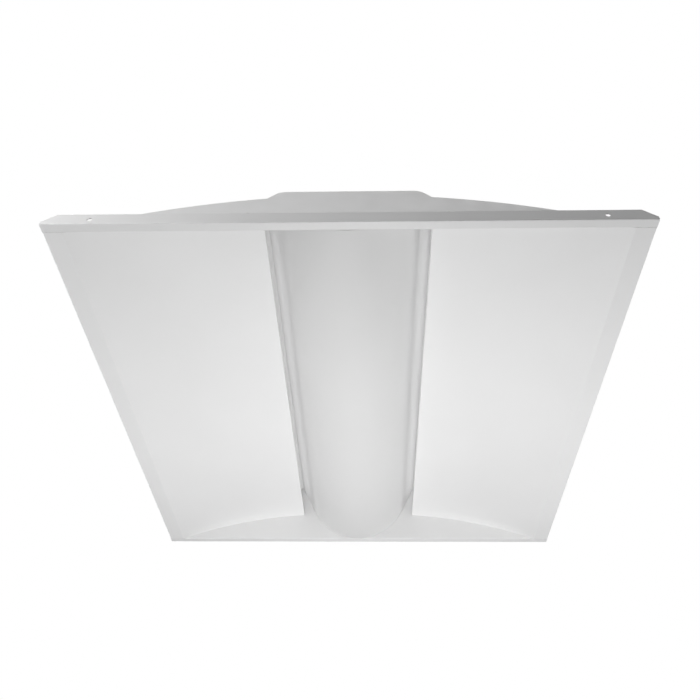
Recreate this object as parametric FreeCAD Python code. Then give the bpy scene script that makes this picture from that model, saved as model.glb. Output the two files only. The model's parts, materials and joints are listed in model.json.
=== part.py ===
import FreeCAD, Part
import math
import os

# Recessed ceiling light for a 610 mm lay-in grid. Millimetres.
# Origin: centre of the face, at ceiling level. +Z points up into the ceiling void, and the
# lens runs along Y. "Front" is -Y, "left" is -X.

# ---------------------------------------------------------------- driving dimensions

# Face and folded edges
FACE = 603.0                # side of the square face
SHEET = 0.8                 # steel sheet
SEAT = 0.1                  # clearance where two fixed pieces meet
FOLD_INSIDE = 0.2           # inside radius of the folds that show
END_LIP = 9.5               # bottom lip of an end plate
SIDE_LIP = 20.0             # bottom flange of a wing
HEM_HEIGHT = 4.5            # upturned outer hem of a wing
BAND_HEIGHT = 17.0          # upstand along the outer edge of an end plate
BAND_CUT = 12.5             # corner cut off the band, along X
LEAN = 0.20                 # inward travel of an end plate per unit of height
GRID_HOLE = 5.0
GRID_HOLE_PITCH = 508.0
GRID_HOLE_HEIGHT = 7.8

# Arched top
EAVE_INSET = 18.0           # side of the back pan, in from the edge of the face
EAVE_HEIGHT = 4.8
CROWN_HEIGHT = 98.5         # top of the full arc, if the channel did not cover it
PAN_FOOT = 12.0             # foot of a pan on the wing's flange
LEDGE_CLEAR = 1.0           # lens rim to the step down to the tray ledge
LEDGE_DROP = 2.8
LEDGE_STEP = 1.0
LEDGE_WIDTH = 13.0

# End plate tabs, folded over the pans and the channel
TAB_DEPTH = 12.0
TAB_WIDTH = 36.0
TAB_SHARE = 0.6             # where a fastener sits on a tab or foot, as a share from its fold
PAN_TABS = (150.0, 232.0)   # places along X of the tabs on each pan

# Raised driver channel
CHANNEL_MARGIN = 27.0       # channel's top beyond the access opening, each side
CHANNEL_INSET = 0.5         # channel's side, where it meets the arch, inside the lens rim
CHANNEL_CORNER = 14.0       # radius of its shoulders
CHANNEL_FOOT = 14.5
CHANNEL_SCREWS = 5          # along each foot
OPENING_WIDTH = 104.0       # access opening in the channel's top
OPENING_FRONT = -150.0
OPENING_BACK = 60.0
OPENING_CORNER = 5.0

# Wing reflectors
WING_EDGE = 88.0            # inner edge, from the middle
WING_RISE = 38.0            # height of that edge
WING_BULGE = 6.5            # how far the curve stands off its chord
WING_RETURN = 3.0           # upturned inner edge

# Lens
LENS_SHEET = 1.8
LENS_CLEAR = 0.5            # lowest point, above the face
LENS_RADIUS = 80.0
LENS_SLOPE = 62.0           # sides, degrees from level
LENS_FLANGE = 13.5
LENS_HEADROOM = 1.2         # flange to tray ledge
LENS_END_GAP = 0.5

# Lens rails and seals
RAIL_GAP = 7.5              # lens side to rail web, at the lens rim
RAIL_FLANGE = 8.0
RAIL_FOOT = 12.0
SEAL = 1.0
RAIL_TAB = 9.0              # reach of the tab that is riveted to an end plate
RAIL_TAB_RISE = 5.0
RAIL_TAB_HEIGHT = 41.0      # its middle
RAIL_NOTCH = 5.0            # foot cut back at its ends, clear of the rivets' tails

# LED tray and boards
TRAY = 1.5
TRAY_OVERLAP = 10.0         # tray edge beyond the ledge's inner edge
TRAY_END_GAP = 4.0
TRAY_SCREW_SHARE = 0.8      # outer tray screws, as a share of the tray's half length
BOARD = 1.6
BOARD_WIDTH = 24.0
BOARD_PLACE = 36.0
BOARD_END_GAP = 20.0
LED_SIZE = 3.0
LED_HEIGHT = 0.8
LED_PITCH = 20.0
LED_END = 24.0
BOARD_SCREW_PITCH = 108.0
PLUG_WIDTH = 10.0
PLUG_LENGTH = 9.0
PLUG_HEIGHT = 4.0
PLUG_CHAMFER = 0.5

# Driver and leads
DRIVER_LENGTH = 280.0
DRIVER_WIDTH = 34.0
DRIVER_HEIGHT = 21.0
DRIVER_HEADROOM = 1.1
DRIVER_X = -40.0
DRIVER_Y = 20.0
DRIVER_FOOT = 10.0
DRIVER_FOOT_SHEET = 1.0
TERMINAL_LENGTH = 13.0
TERMINAL_HEIGHT = 12.0
LEAD = 1.8                  # diameter
LEAD_HEIGHT = 6.0           # above the tray
LEAD_PITCH = 5.0
LEAD_BEND = 0.45            # share of the shorter run that a bend takes
SPLICE_LENGTH = 18.0
SPLICE_WIDTH = 7.0
SPLICE_TIP = 4.6
SPLICE_PITCH = 11.0
SPLICE_X = 12.0
SPLICE_Y = -92.0
GROMMET_HOLE = 16.0
GROMMET_FLANGE = 1.6
GROMMET_BORE = 11.0
GROMMET_Y = 222.0

# Access cover, hinges and turn button
COVER_SHEET = 0.8
COVER_LIFT = 0.2            # running clearance between cover and channel
COVER_LAP = 7.0             # cover beyond the opening, on the three free sides
COVER_LIP = 4.0             # height of the finger lip on the free side
COVER_LIP_LENGTH = 20.0
HINGE_LAP = 8.0             # hinge line beyond the opening
KNUCKLE_RADIUS = 2.3
PIN_RADIUS = 1.25
PIN_CLEAR = 0.05
KNUCKLE = 10.0
KNUCKLE_GAP = 0.3
HINGE_INSET = 40.0          # hinge centre, in from the cover's end
LEAF_DEPTH = 11.0
LATCH_LENGTH = 22.0
LATCH_WIDTH = 8.0
LATCH_SHEET = 1.0
LATCH_INSET = 2.5           # blade to cover edge, latch open
LATCH_SHANK = 1.5           # radius
LATCH_TAB = 3.0

# Conduit knockouts in the channel's top
KNOCKOUT = 22.2
KNOCKOUT_X = 30.0
KNOCKOUT_Y = 120.0
KNOCKOUT_LIP = 1.6
KNOCKOUT_ROUND = 0.5

# Swing-out grid clips
GRID_BAR_HEIGHT = 38.1      # ceiling grid bar that a clip swings over
CLIP_CLEAR = 2.0
CLIP_INSET = 26.5           # pivot, in from the edge of the face
CLIP_END = 100.0            # pivot, in from the end of the face
CLIP_LENGTH = 46.0          # pivot to tip
CLIP_WIDTH = 14.0
CLIP_SHEET = 1.2
CLIP_SHANK = 2.0            # radius
CLIP_LIFT = 0.2
CLIP_LIP = 4.0
BRACKET_SHEET = 1.0
BRACKET_WIDTH = 24.0
BRACKET_LEG = 13.0          # leg, inboard of the pivot
BRACKET_SHELF = 9.0         # shelf, outboard of the pivot
BRACKET_FOOT = 22.0

# Hanger tabs for support wires
HANGER_X = 180.0
HANGER_END = 62.0           # in from the end of the face
HANGER_WIDTH = 20.0
HANGER_HEIGHT = 20.0
HANGER_SHEET = 1.2
HANGER_FOOT = 16.0
HANGER_HOLE = 6.0

# Fasteners
RIVET_RADIUS = 1.6
RIVET_HEAD_RADIUS = 3.2
RIVET_HEAD = 1.2
RIVET_TAIL = 1.2
SCREW_RADIUS = 1.5
SCREW_HEAD_RADIUS = 3.2
SCREW_HEAD = 1.8
SCREW_RECESS = 0.8
SCREW_TAIL = 1.8
HOLE_CLEAR = 0.05
RIVET_DOME = 0.8            # share of a rivet head's height that is rounded
HEAD_ROUND = 0.5            # the same for screws and pivot rivets
BLADE_ROUND = 0.9           # corner radius of a blade, as a share of its half width
RECESS_REACH = 0.55         # arm of a cross recess, as a share of the head's radius

# ---------------------------------------------------------------- places worked out from them

V = FreeCAD.Vector
UP = V(0, 0, 1)
DOWN = V(0, 0, -1)

half = FACE / 2
end_inner = half - END_LIP
fold_radius = SHEET + FOLD_INSIDE
side_inner = half - SIDE_LIP
eave_x = half - EAVE_INSET
arch_rise = CROWN_HEIGHT - EAVE_HEIGHT
arch_radius = (eave_x ** 2 + arch_rise ** 2) / (2 * arch_rise)
arch_centre = CROWN_HEIGHT - arch_radius
lean_angle = math.atan(LEAN)


def arch_z(x, inset=0.0):
    """Height of the arched top at x, or of a surface that lies inset below it."""
    return arch_centre + math.sqrt((arch_radius - inset) ** 2 - x ** 2)


def lean_y(z):
    """Room side of the rear end plate at a height."""
    return end_inner - LEAN * z


lens_angle = math.radians(LENS_SLOPE)
lens_side = V(math.cos(lens_angle), 0, math.sin(lens_angle))
lens_bend_x = LENS_RADIUS * math.sin(lens_angle)
lens_bend_z = LENS_CLEAR + LENS_RADIUS * (1 - math.cos(lens_angle))
lens_stack = LENS_SHEET + LENS_HEADROOM + SHEET + LEDGE_DROP


def ledge_place():
    """Where a line beside the lens's side meets the underside of the arched top."""
    foot = V(lens_bend_x + LEDGE_CLEAR, 0, lens_bend_z + lens_stack - arch_centre)
    along = foot.dot(lens_side)
    reach = (arch_radius - SHEET) ** 2 - foot.dot(foot)
    return (foot + lens_side * (math.sqrt(along ** 2 + reach) - along)).x


ledge_x = ledge_place()
ledge_z = arch_z(ledge_x, SHEET) - LEDGE_DROP
ledge_inner = ledge_x - LEDGE_STEP - LEDGE_WIDTH
lens_rim = ledge_z - SHEET - LENS_HEADROOM - LENS_SHEET
lens_rim_x = lens_bend_x + (lens_rim - lens_bend_z) / math.tan(lens_angle)
rail_x = lens_rim_x + RAIL_GAP
rail_top = lens_rim - SEAL
tray_top = ledge_z + TRAY
tray_half = ledge_inner + TRAY_OVERLAP
tray_end = lean_y(tray_top) - TRAY_END_GAP
channel_under = tray_top + DRIVER_HEIGHT + DRIVER_HEADROOM
channel_top = channel_under + SHEET
body_height = channel_top + SHEET
opening_half = OPENING_WIDTH / 2
channel_half = opening_half + CHANNEL_MARGIN
channel_base = lens_rim_x - CHANNEL_INSET
channel_base_z = arch_z(channel_base)
channel_slope = (channel_base - channel_half) / (body_height - channel_base_z)

wing_chord = V(WING_EDGE - side_inner, 0, WING_RISE)
wing_mid = V(side_inner, 0, 0) + wing_chord * 0.5
wing_mid += V(WING_RISE, 0, side_inner - WING_EDGE).normalize() * WING_BULGE
wing_radius = (wing_chord.Length ** 2 / 4 + WING_BULGE ** 2) / (2 * WING_BULGE)
wing_centre = wing_mid - V(WING_RISE, 0, side_inner - WING_EDGE).normalize() * wing_radius

board_end = tray_end - BOARD_END_GAP
board_under = ledge_z - BOARD

cover_under = channel_top + COVER_LIFT
cover_top = cover_under + COVER_SHEET
cover_edge = opening_half + COVER_LAP
cover_front = OPENING_FRONT - COVER_LAP
cover_back = OPENING_BACK + COVER_LAP
hinge_x = -opening_half - HINGE_LAP
hinge_z = cover_under + KNUCKLE_RADIUS
pin_bore = PIN_RADIUS + PIN_CLEAR
hinge_places = (cover_front + HINGE_INSET, cover_back - HINGE_INSET)
latch_x = cover_edge + LATCH_INSET + LATCH_WIDTH / 2
latch_y = (cover_front + cover_back) / 2
latch_under = cover_top + COVER_LIFT

clip_x = half - CLIP_INSET
clip_y = half - CLIP_END
shelf_top = GRID_BAR_HEIGHT + CLIP_CLEAR
clip_under = shelf_top + CLIP_LIFT
clip_top = clip_under + CLIP_SHEET
leg_x = clip_x - BRACKET_LEG
hanger_y = half - HANGER_END

parts = {}

# ---------------------------------------------------------------- shapes


def at(x, z):
    """A point of a cross-section."""
    return V(x, 0, z)


def box(x, y, z):
    """A box from three (low, high) pairs."""
    return Part.makeBox(x[1] - x[0], y[1] - y[0], z[1] - z[0], V(x[0], y[0], z[0]))


def rod(radius, start, end):
    return Part.makeCylinder(radius, (end - start).Length, start, end - start)


def placed(shape, point, direction):
    """Moves a shape that was made at the origin along +Z."""
    moved = shape.copy()
    moved.Placement = FreeCAD.Placement(point, FreeCAD.Rotation(UP, direction))
    return moved


def mirror_x(shape):
    return shape.mirror(V(0, 0, 0), V(1, 0, 0))


def mirror_y(shape):
    return shape.mirror(V(0, 0, 0), V(0, 1, 0))


def path(start, *steps):
    """A wire of lines and arcs: a step is the next point, or a (middle, end) pair."""
    edges = []
    here = start
    for step in steps:
        if isinstance(step, tuple):
            edges.append(Part.Arc(here, step[0], step[1]).toShape())
            here = step[1]
        else:
            edges.append(Part.LineSegment(here, step).toShape())
            here = step
    return Part.Wire(edges)


def arch_step(x_from, x_to, inset=0.0):
    """The arc along the arched top, as a step of a path."""
    middle = (x_from + x_to) / 2
    return at(middle, arch_z(middle, inset)), at(x_to, arch_z(x_to, inset))


def sheet(wire, towards, low, high, thickness=SHEET):
    """Sheet along Y from low to high: the wire is one side of it, the other lies towards a point."""
    sides = []
    for side in (1, -1):
        face = wire.makeOffset2D(side * thickness, join=2, fill=True, openResult=True)
        sides.append(face)
    face = min(sides, key=lambda side: side.CenterOfMass.distanceToPoint(towards))
    face.translate(V(0, low, 0))
    return face.extrude(V(0, high - low, 0))


def lean_slab(near, far):
    """Space beside the rear end plate, from near to far inside its room side."""
    top = body_height * 2
    corners = [
        V(0, end_inner - near, 0),
        V(0, end_inner - far, 0),
        V(0, end_inner - far - LEAN * top, top),
        V(0, end_inner - near - LEAN * top, top),
    ]
    face = Part.Face(Part.makePolygon(corners + corners[:1]))
    face.translate(V(-FACE, 0, 0))
    return face.extrude(V(2 * FACE, 0, 0))


def between_ends(shape, gap=SEAT):
    """Trims a shape that runs along Y to the two leaning end plates."""
    beyond = lean_slab(gap, -FACE)
    return shape.cut(beyond).cut(mirror_y(beyond))


def corner_steps(before, corner, after, radius):
    """Steps of a path that round a corner: the point where the arc starts, and the arc."""
    one_way = (before - corner).normalize()
    other_way = (after - corner).normalize()
    opening = one_way.getAngle(other_way) / 2
    bisector = (one_way + other_way).normalize()
    tangent = radius / math.tan(opening)
    middle = corner + bisector * (radius / math.sin(opening) - radius)
    return corner + one_way * tangent, (middle, corner + other_way * tangent)


def fold_round(corner, one_way, other_way, reach):
    """What a fold along X loses outside its radius: sheet leaves the corner both ways."""
    outside = corner - (one_way + other_way).normalize() * fold_radius
    arc = corner_steps(corner + one_way, corner, corner + other_way, fold_radius)
    face = Part.Face(path(outside, *arc, outside))
    face.translate(V(-reach, 0, 0))
    return face.extrude(V(2 * reach, 0, 0))


def rounded_box(x, y, z, radius):
    """A box with its upright edges rounded."""
    block = box(x, y, z)
    upright = [e for e in block.Edges if abs(e.tangentAt(e.FirstParameter).z) > 0.9]
    return block.makeFillet(radius, upright)


def tube(points, radius):
    """A round lead along straight runs joined by tangent arcs."""
    edges = []
    here = points[0]
    for before, corner, after in zip(points, points[1:], points[2:]):
        come = (corner - before).normalize()
        go = (after - corner).normalize()
        reach = LEAD_BEND * min((corner - before).Length, (after - corner).Length)
        bend = reach / math.tan(come.getAngle(go) / 2)
        start = corner - come * reach
        end = corner + go * reach
        inward = (go - come).normalize()
        centre = corner + inward * math.hypot(bend, reach)
        edges.append(Part.LineSegment(here, start).toShape())
        edges.append(Part.Arc(start, centre - inward * bend, end).toShape())
        here = end
    edges.append(Part.LineSegment(here, points[-1]).toShape())
    circle = Part.Circle(points[0], points[1] - points[0], radius).toShape()
    return Part.Wire(edges).makePipeShell([Part.Wire(circle)], True, False)


# ---------------------------------------------------------------- fasteners


def rivet(grip):
    """A blind rivet along Z, its domed head above 0 and its tail below the grip."""
    shank = rod(RIVET_RADIUS, V(0, 0, -grip - RIVET_TAIL), V(0, 0, 0))
    head = rod(RIVET_HEAD_RADIUS, V(0, 0, 0), V(0, 0, RIVET_HEAD))
    head = head.makeFillet(RIVET_HEAD * RIVET_DOME, [head.Edges[0]])
    tail = rod((RIVET_RADIUS + RIVET_HEAD_RADIUS) / 2, V(0, 0, -grip - RIVET_TAIL), V(0, 0, -grip))
    return shank.fuse([head, tail]).removeSplitter()


def screw(grip):
    """A pan-head screw along Z with a cross recess."""
    shank = rod(SCREW_RADIUS, V(0, 0, -grip - SCREW_TAIL), V(0, 0, 0))
    head = rod(SCREW_HEAD_RADIUS, V(0, 0, 0), V(0, 0, SCREW_HEAD))
    head = head.makeFillet(SCREW_HEAD * HEAD_ROUND, [head.Edges[0]])
    arm = SCREW_HEAD_RADIUS * RECESS_REACH
    slot = SCREW_RECESS / 2
    depth = (SCREW_HEAD - SCREW_RECESS, SCREW_HEAD)
    head = head.cut(box((-arm, arm), (-slot, slot), depth))
    head = head.cut(box((-slot, slot), (-arm, arm), depth))
    return shank.fuse(head).removeSplitter()


def drilled(shape, drill):
    """A shape, or each of a list of shapes, with a hole."""
    if isinstance(shape, list):
        return [drilled(item, drill) for item in shape]
    return shape.cut(drill)


def fasten(group, kind, point, outward, grip, nodes):
    """Drills the nodes at a point and adds a fastener whose head stands outward."""
    radius = RIVET_RADIUS if kind is rivet else SCREW_RADIUS
    deep = point - outward * (grip + SCREW_TAIL + RIVET_TAIL)
    drill = rod(radius + HOLE_CLEAR, deep, point + outward)
    for node in nodes:
        parts[node] = drilled(parts[node], drill)
    seated = placed(kind(grip + 2 * HOLE_CLEAR), point + outward * HOLE_CLEAR, outward)
    parts.setdefault(group, []).append(seated)


def flush(depth):
    """Grip of a screw that ends just inside the far side of what it holds."""
    return depth - SCREW_TAIL - 3 * HOLE_CLEAR


def arch_normal(x):
    return V(x, 0, arch_z(x) - arch_centre).normalize()


def on_arch(x, y, inset=0.0):
    """A point on the arched top, or on a surface that lies inset below it."""
    return V(0, y, arch_centre) + arch_normal(x) * (arch_radius - inset)


# ---------------------------------------------------------------- sheet metal


def channel_steps(top):
    """The channel's outside from foot to foot at a height of its top, as steps of a path."""
    shoulder = channel_half + channel_slope * (body_height - top)
    left = at(-channel_base, channel_base_z), at(-shoulder, top)
    right = at(shoulder, top), at(channel_base, channel_base_z)
    rise = corner_steps(*left, right[0], CHANNEL_CORNER)
    fall = corner_steps(left[1], *right, CHANNEL_CORNER)
    return (*rise, *fall, right[1])


def end_outline():
    """Outline of an end plate: sides, arch and raised middle."""
    edge = eave_x + SHEET
    eave = arch_z(eave_x)
    wire = path(
        at(-edge, 0), at(-edge, eave), at(-eave_x, eave), arch_step(-eave_x, -channel_base),
        *channel_steps(body_height), arch_step(channel_base, eave_x),
        at(edge, eave), at(edge, 0), at(-edge, 0),
    )
    return Part.Face(wire)


def arch_band(x_from, x_to):
    """Strip of sheet lying on the pans, flush with the end plates' outline."""
    start = at(x_from, arch_z(x_from))
    return sheet(path(start, arch_step(x_from, x_to)), at(0, -FACE), -half, half)


def end_tabs():
    """Tabs folded inwards from the rear end plate over the pans and the channel."""
    strips = [box((-TAB_WIDTH, TAB_WIDTH), (-half, half), (channel_top, body_height))]
    for place in PAN_TABS:
        strip = arch_band(place - TAB_WIDTH / 2, place + TAB_WIDTH / 2)
        strips += [strip, mirror_x(strip)]
    reach = lean_slab(-SHEET / 2, TAB_DEPTH)
    return [strip.common(reach) for strip in strips]


def end_band():
    """Outer upstand with its corners cut and its two grid holes."""
    corners = [
        at(-half, 0), at(half, 0), at(half, HEM_HEIGHT), at(half - BAND_CUT, BAND_HEIGHT),
        at(BAND_CUT - half, BAND_HEIGHT), at(-half, HEM_HEIGHT), at(-half, 0),
    ]
    face = Part.Face(Part.makePolygon(corners))
    face.translate(V(0, half - SHEET, 0))
    band = face.extrude(V(0, SHEET, 0))
    for x in (-GRID_HOLE_PITCH / 2, GRID_HOLE_PITCH / 2):
        hole = rod(GRID_HOLE / 2, V(x, end_inner, GRID_HOLE_HEIGHT), V(x, half + 1, GRID_HOLE_HEIGHT))
        band = band.cut(hole)
    return band


def rear_end_plate():
    block = end_outline().extrude(V(0, 2 * half, 0))
    plate = block.common(lean_slab(-SHEET / math.cos(lean_angle), 0))
    lip = box((-half, half), (end_inner, half), (0, SHEET))
    folded = plate.fuse([lip, end_band()] + end_tabs()).removeSplitter()
    outer_fold = fold_round(V(0, half, 0), V(0, -1, 0), UP, half + 1)
    up_plate = V(0, -LEAN, 1).normalize()
    inner_fold = fold_round(V(0, end_inner, 0), V(0, 1, 0), up_plate, eave_x + SHEET)
    return folded.cut([outer_fold, inner_fold])


def right_wing():
    hem_top = at(half, HEM_HEIGHT)
    wire = path(
        hem_top, *corner_steps(hem_top, at(half, 0), at(side_inner, 0), fold_radius), at(side_inner, 0),
        (wing_mid, at(WING_EDGE, WING_RISE)), at(WING_EDGE, WING_RISE + WING_RETURN),
    )
    wing = between_ends(sheet(wire, at(WING_EDGE, FACE), -half, half))
    end = half - SHEET - SEAT
    hem = box((half - SHEET, half), (-end, end), (fold_radius, HEM_HEIGHT))
    return wing.fuse(hem).removeSplitter()


def right_pan():
    foot = 2 * SHEET
    wire = path(
        at(eave_x + PAN_FOOT, foot), at(eave_x, foot), at(eave_x, arch_z(eave_x, SHEET)),
        arch_step(eave_x, ledge_x, SHEET), at(ledge_x - LEDGE_STEP, ledge_z),
        at(ledge_inner, ledge_z),
    )
    return between_ends(sheet(wire, at(ledge_x, -FACE), -half, half))


def driver_channel():
    foot = channel_base + CHANNEL_FOOT
    wire = path(
        at(-foot, arch_z(foot)), arch_step(-foot, -channel_base), *channel_steps(channel_top),
        arch_step(channel_base, foot),
    )
    channel = between_ends(sheet(wire, at(0, -FACE), -half, half))
    through = (channel_under - 1, channel_top + 1)
    opening = rounded_box(
        (-opening_half, opening_half), (OPENING_FRONT, OPENING_BACK), through, OPENING_CORNER
    )
    channel = channel.cut(opening)
    for x in (-KNOCKOUT_X, KNOCKOUT_X):
        hole = rod(KNOCKOUT / 2, V(x, KNOCKOUT_Y, through[0]), V(x, KNOCKOUT_Y, through[1]))
        channel = channel.cut(hole)
    return channel


def knockout_plug():
    """Snap-in plug that closes the knockout on the driver's side."""
    x = -KNOCKOUT_X
    wide = KNOCKOUT / 2 + KNOCKOUT_LIP
    neck = KNOCKOUT / 2 - HOLE_CLEAR
    cap = rod(wide, V(x, KNOCKOUT_Y, channel_top), V(x, KNOCKOUT_Y, channel_top + SHEET))
    cap = cap.makeFillet(KNOCKOUT_ROUND, [cap.Edges[0]])
    body = rod(neck, V(x, KNOCKOUT_Y, channel_under), V(x, KNOCKOUT_Y, channel_top))
    return cap.fuse(body)


# ---------------------------------------------------------------- lens and its rails


def lens():
    flange = lens_rim_x + LENS_FLANGE
    wire = path(
        at(-flange, lens_rim), at(-lens_rim_x, lens_rim), at(-lens_bend_x, lens_bend_z),
        (at(0, LENS_CLEAR), at(lens_bend_x, lens_bend_z)),
        at(lens_rim_x, lens_rim), at(flange, lens_rim),
    )
    solid = sheet(wire, at(0, FACE), -half, half, LENS_SHEET)
    return between_ends(solid, LENS_END_GAP)


def wing_top(x):
    """Height of a wing's back at x."""
    return wing_centre.z + math.sqrt((wing_radius + SHEET) ** 2 - (x - wing_centre.x) ** 2)


def right_rail():
    foot = rail_x + RAIL_FOOT
    middle = (rail_x + foot) / 2
    wire = path(
        at(foot, wing_top(foot)), (at(middle, wing_top(middle)), at(rail_x, wing_top(rail_x))),
        at(rail_x, rail_top), at(rail_x + RAIL_FLANGE, rail_top),
    )
    rail = between_ends(sheet(wire, at(FACE, rail_top), -half, half))
    low = RAIL_TAB_HEIGHT - RAIL_TAB_RISE / 2
    tab = box((rail_x, rail_x + RAIL_TAB), (0, half), (low, low + RAIL_TAB_RISE))
    tab = tab.common(lean_slab(SEAT, SEAT + SHEET))
    notch = box((rail_x + SHEET, foot + SHEET), (0, half), (0, low)).common(lean_slab(0, RAIL_NOTCH))
    rail = rail.cut([notch, mirror_y(notch)])
    return rail.fuse([tab, mirror_y(tab)]).removeSplitter()


def right_seal():
    strip = box((rail_x, rail_x + RAIL_FLANGE), (-half, half), (rail_top, lens_rim))
    return between_ends(strip, LENS_END_GAP)


# ---------------------------------------------------------------- LED tray, boards and driver


def led_tray():
    tray = box((-tray_half, tray_half), (-tray_end, tray_end), (ledge_z, tray_top))
    hole = rod(GROMMET_HOLE / 2, V(0, GROMMET_Y, ledge_z - 1), V(0, GROMMET_Y, tray_top + 1))
    return tray.cut(hole)


def tray_grommet():
    wide = GROMMET_HOLE / 2 + GROMMET_FLANGE
    low = ledge_z - GROMMET_FLANGE
    high = tray_top + GROMMET_FLANGE
    ring = rod(wide, V(0, GROMMET_Y, low), V(0, GROMMET_Y, high))
    neck = rod(wide + 1, V(0, GROMMET_Y, ledge_z), V(0, GROMMET_Y, tray_top))
    neck = neck.cut(rod(GROMMET_HOLE / 2, V(0, GROMMET_Y, ledge_z), V(0, GROMMET_Y, tray_top)))
    return ring.cut(neck).cut(rod(GROMMET_BORE / 2, V(0, GROMMET_Y, low), V(0, GROMMET_Y, high)))


def board(place):
    side = BOARD_WIDTH / 2
    return box((place - side, place + side), (-board_end, board_end), (board_under, ledge_z))


def row_places(end_clear, pitch):
    """Places along Y at a pitch, as many as fit between the board's ends less a clearance."""
    count = int(2 * (board_end - end_clear) / pitch) + 1
    return [pitch * (index - (count - 1) / 2) for index in range(count)]


def leds(place):
    """A row of LEDs on the underside of a board."""
    side = LED_SIZE / 2
    row = []
    for y in row_places(LED_END, LED_PITCH):
        row.append(box((place - side, place + side), (y - side, y + side),
                       (board_under - LED_HEIGHT, board_under)))
    return row


def board_plug(place):
    """Lead connector on the rear end of a board."""
    y = board_end - PLUG_LENGTH / 2
    side = PLUG_WIDTH / 2
    plug = box((place - side, place + side), (y - PLUG_LENGTH / 2, y + PLUG_LENGTH / 2),
               (board_under - PLUG_HEIGHT, board_under))
    top_edges = [e for e in plug.Edges if e.CenterOfMass.z < board_under - PLUG_HEIGHT + 0.01]
    return plug.makeChamfer(PLUG_CHAMFER, top_edges)


driver_front = DRIVER_Y - DRIVER_LENGTH / 2
driver_back = DRIVER_Y + DRIVER_LENGTH / 2


def led_driver():
    """Metal can with a mounting foot at each end, open above the foot for its terminals."""
    side = DRIVER_WIDTH / 2
    case = box((DRIVER_X - side, DRIVER_X + side), (driver_front, driver_back),
               (tray_top, tray_top + DRIVER_HEIGHT))
    long_edges = [e for e in case.Edges
                  if e.Length > DRIVER_LENGTH - 1 and e.CenterOfMass.z > tray_top + 1]
    case = case.makeFillet(SHEET, long_edges)
    reach = TERMINAL_LENGTH + DRIVER_FOOT
    foot = rounded_box((DRIVER_X - side, DRIVER_X + side), (driver_front - reach, driver_back + reach),
                       (tray_top, tray_top + DRIVER_FOOT_SHEET), SHEET)
    return case.fuse(foot).removeSplitter()


def driver_terminals():
    """Push-in terminal blocks on the driver's feet, one at each end of its case."""
    side = DRIVER_WIDTH / 2 - SHEET
    low = tray_top + DRIVER_FOOT_SHEET
    blocks = []
    for start, end in ((driver_front - TERMINAL_LENGTH, driver_front),
                       (driver_back, driver_back + TERMINAL_LENGTH)):
        blocks.append(box((DRIVER_X - side, DRIVER_X + side), (start, end),
                          (low, low + TERMINAL_HEIGHT)))
    return blocks


def output_leads():
    """Two leads from the rear terminals, down through the tray, to the boards' connectors."""
    lead_z = tray_top + LEAD_HEIGHT
    under = board_under - PLUG_HEIGHT / 2
    start_y = driver_back + TERMINAL_LENGTH
    leads = []
    for side in (-1, 1):
        x = DRIVER_X + side * LEAD_PITCH
        bore_x = side * LEAD
        plug_x = side * (BOARD_PLACE - PLUG_WIDTH / 2)
        plug_y = board_end - PLUG_LENGTH / 2
        leads.append(tube([
            V(x, start_y, lead_z),
            V(x, start_y + DRIVER_FOOT + 2 * LEAD_PITCH + side * LEAD, lead_z),
            V(bore_x, GROMMET_Y, lead_z + LEAD),
            V(bore_x, GROMMET_Y, under),
            V(plug_x - side * LEAD_PITCH, plug_y, under),
            V(plug_x, plug_y, under),
        ], LEAD / 2))
    return leads


def splice_x(index):
    return SPLICE_X + index * SPLICE_PITCH


def input_leads():
    """Leads from the front terminals round to the splice connectors beside the driver."""
    lead_z = tray_top + LEAD_HEIGHT
    start_y = driver_front - TERMINAL_LENGTH
    leads = []
    for index in range(2):
        turn_y = start_y - DRIVER_FOOT - LEAD_PITCH * (index + 1)
        x = DRIVER_X + LEAD_PITCH * (1 - 2 * index)
        leads.append(tube([
            V(x, start_y, lead_z),
            V(x, turn_y, lead_z),
            V(splice_x(index), turn_y, lead_z),
            V(splice_x(index), SPLICE_Y, lead_z),
        ], LEAD / 2))
    return leads


def splice_connectors():
    """Twist-on connectors on the input leads and the ground lead."""
    lead_z = tray_top + LEAD_HEIGHT
    caps = []
    for index in range(3):
        start = V(splice_x(index), SPLICE_Y, lead_z)
        cap = Part.makeCone(SPLICE_WIDTH / 2, SPLICE_TIP / 2, SPLICE_LENGTH, start, V(0, 1, 0))
        caps.append(cap)
    return caps


def ground_point():
    """Place of the ground screw on the tray."""
    return V(splice_x(2) + SPLICE_PITCH, SPLICE_Y - 2 * SPLICE_LENGTH, tray_top)


def ground_lead():
    """Lead from the third splice connector to a ring under the ground screw."""
    lead_z = tray_top + LEAD_HEIGHT
    foot = ground_point()
    ring_radius = SCREW_HEAD_RADIUS + LEAD / 2
    ring = rod(ring_radius, foot, foot + UP * SHEET).cut(rod(SCREW_RADIUS + HOLE_CLEAR, foot, foot + UP))
    back = V(foot.x, foot.y - SPLICE_LENGTH, tray_top + LEAD)
    start = V(splice_x(2), SPLICE_Y, lead_z)
    end = V(foot.x, foot.y - SCREW_HEAD_RADIUS - HOLE_CLEAR, tray_top + LEAD / 2)
    route = [start, V(start.x, back.y, lead_z), back, end]
    return tube(route, LEAD / 2).fuse(ring)


# ---------------------------------------------------------------- access cover, hinges, latch


def knuckle(y_low, y_high):
    outer = rod(KNUCKLE_RADIUS, V(hinge_x, y_low, hinge_z), V(hinge_x, y_high, hinge_z))
    return outer.cut(rod(pin_bore, V(hinge_x, y_low, hinge_z), V(hinge_x, y_high, hinge_z)))


def cover_knuckles(centre):
    """The two outer knuckles of one hinge, as (low, high) pairs along Y."""
    inner = KNUCKLE / 2 + KNUCKLE_GAP
    return ((centre - inner - KNUCKLE, centre - inner), (centre + inner, centre + inner + KNUCKLE))


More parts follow.
